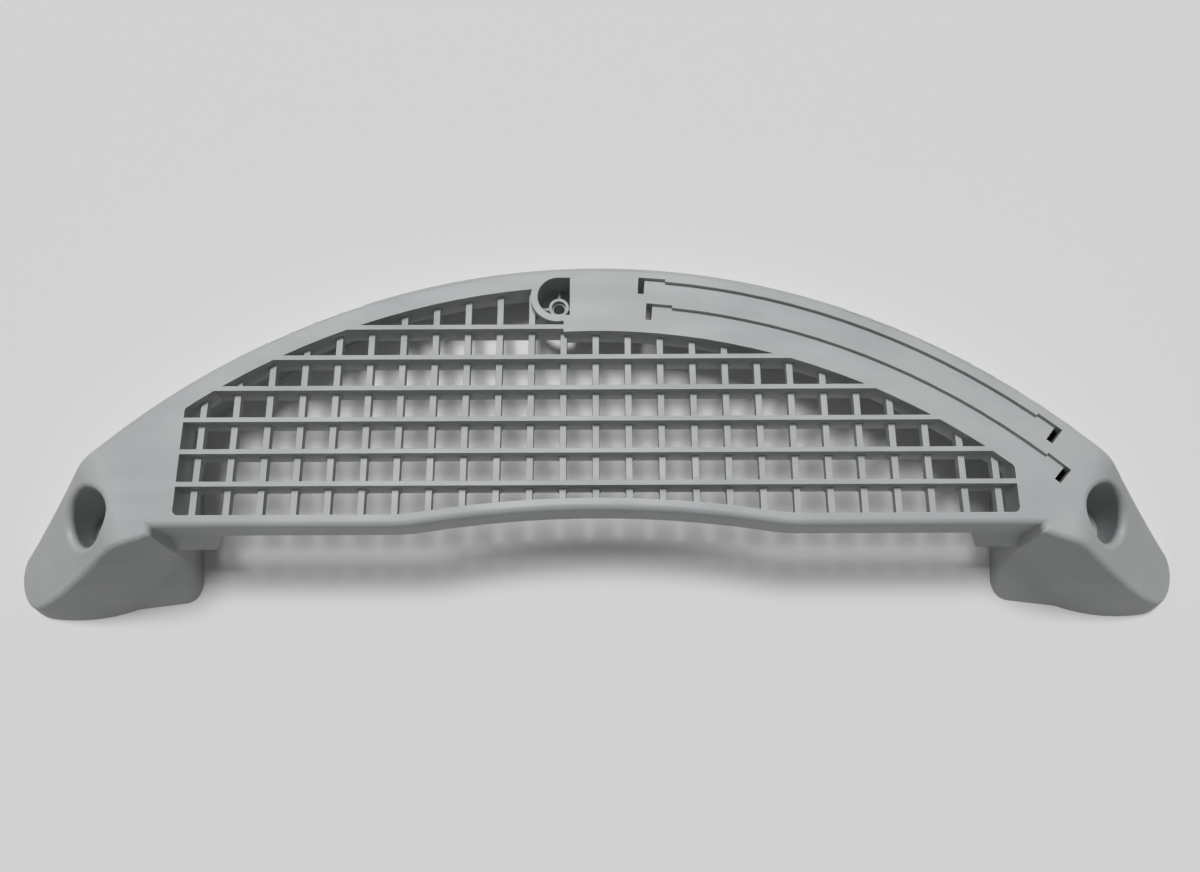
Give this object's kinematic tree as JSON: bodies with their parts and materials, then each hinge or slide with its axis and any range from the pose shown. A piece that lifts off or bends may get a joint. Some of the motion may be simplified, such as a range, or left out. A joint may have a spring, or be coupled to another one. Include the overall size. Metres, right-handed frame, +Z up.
{
  "type": "lint filter guide cover",
  "caption": "Arched grey plastic cover for a dryer drum front: ribbed grille over the lint filter's slot, finger-notched lip between raised screw horns, sensor strip channels in the rim.",
  "frame": {"origin": "middle of the bounding box on the surface that the cover lies on, face up", "axes": "+X to the right along the lip, towards the side with the sensor strip channels; +Y from the lip to the arched rim; +Z up, out of the face"},
  "size_m": [0.4544, 0.1366, 0.0488],
  "materials": {
    "grey_plastic": "fine moulded matte, cool light grey"
  },
  "bodies": {
    "root": {"guide_cover": "grey_plastic"}
  },
  "joints": []
}
